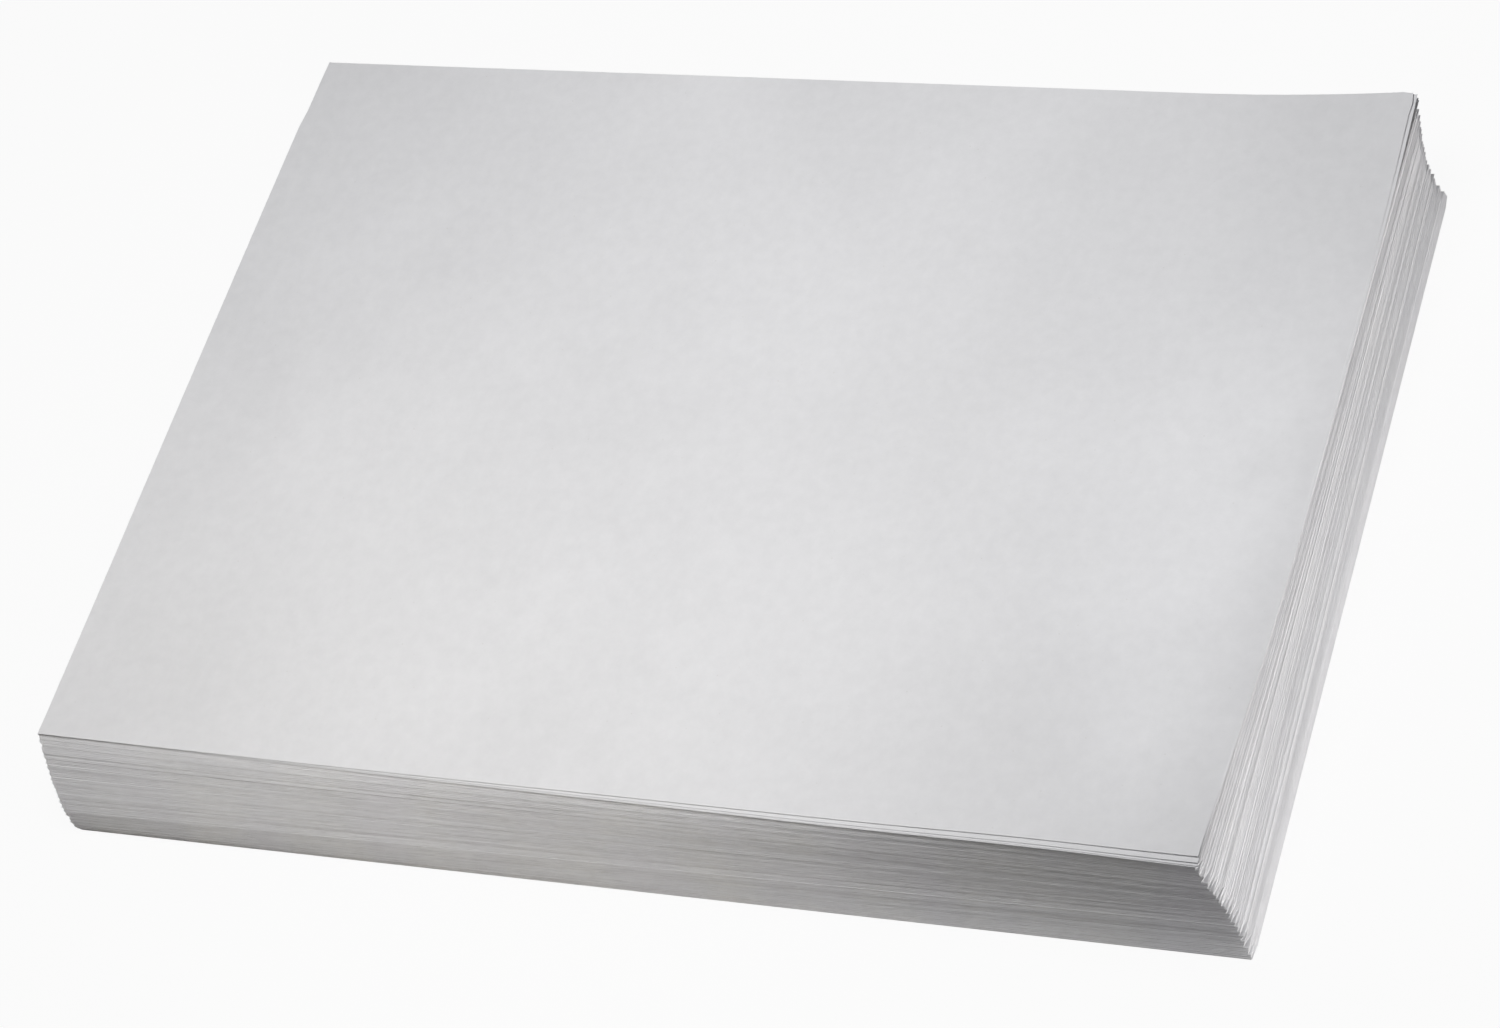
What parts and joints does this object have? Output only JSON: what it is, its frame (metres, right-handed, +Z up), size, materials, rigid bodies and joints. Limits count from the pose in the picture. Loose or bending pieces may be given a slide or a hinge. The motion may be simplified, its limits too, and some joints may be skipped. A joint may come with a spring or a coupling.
{
  "type": "stack of newsprint paper",
  "caption": "Loose stack of large plain newsprint packing sheets lying flat, leaning a little, with ragged edges and two curled corners",
  "frame": {"origin": "middle of the bottom sheet's underside, on the surface that the stack lies on", "axes": "+X along the sheets' long side, +Y along the short side towards the back edge, +Z up through the stack"},
  "size_m": [0.8102, 0.5855, 0.0724],
  "materials": {
    "loose_sheet": "uncoated newsprint, matt",
    "sheet_pile": "uncoated newsprint, cut edges"
  },
  "bodies": {
    "root": {"top_sheet": "loose_sheet", "second_sheet": "loose_sheet", "third_sheet": "loose_sheet", "fourth_sheet": "loose_sheet", "lift_01": "sheet_pile", "lift_02": "sheet_pile", "lift_03": "sheet_pile", "lift_04": "sheet_pile", "lift_05": "sheet_pile", "lift_06": "sheet_pile", "lift_07": "sheet_pile", "lift_08": "sheet_pile", "lift_09": "sheet_pile", "lift_10": "sheet_pile", "lift_11": "sheet_pile", "lift_12": "sheet_pile", "lift_13": "sheet_pile", "lift_14": "sheet_pile", "lift_15": "sheet_pile", "lift_16": "sheet_pile", "lift_17": "sheet_pile", "lift_18": "sheet_pile", "lift_19": "sheet_pile", "lift_20": "sheet_pile", "lift_21": "sheet_pile", "lift_22": "sheet_pile", "lift_23": "sheet_pile", "lift_24": "sheet_pile", "lift_25": "sheet_pile", "lift_26": "sheet_pile", "lift_27": "sheet_pile", "lift_28": "sheet_pile", "lift_29": "sheet_pile", "lift_30": "sheet_pile", "lift_31": "sheet_pile", "lift_32": "sheet_pile", "lift_33": "sheet_pile", "lift_34": "sheet_pile", "lift_35": "sheet_pile", "lift_36": "sheet_pile", "lift_37": "sheet_pile", "lift_38": "sheet_pile", "lift_39": "sheet_pile", "lift_40": "sheet_pile", "lift_41": "sheet_pile", "lift_42": "sheet_pile"}
  },
  "joints": []
}
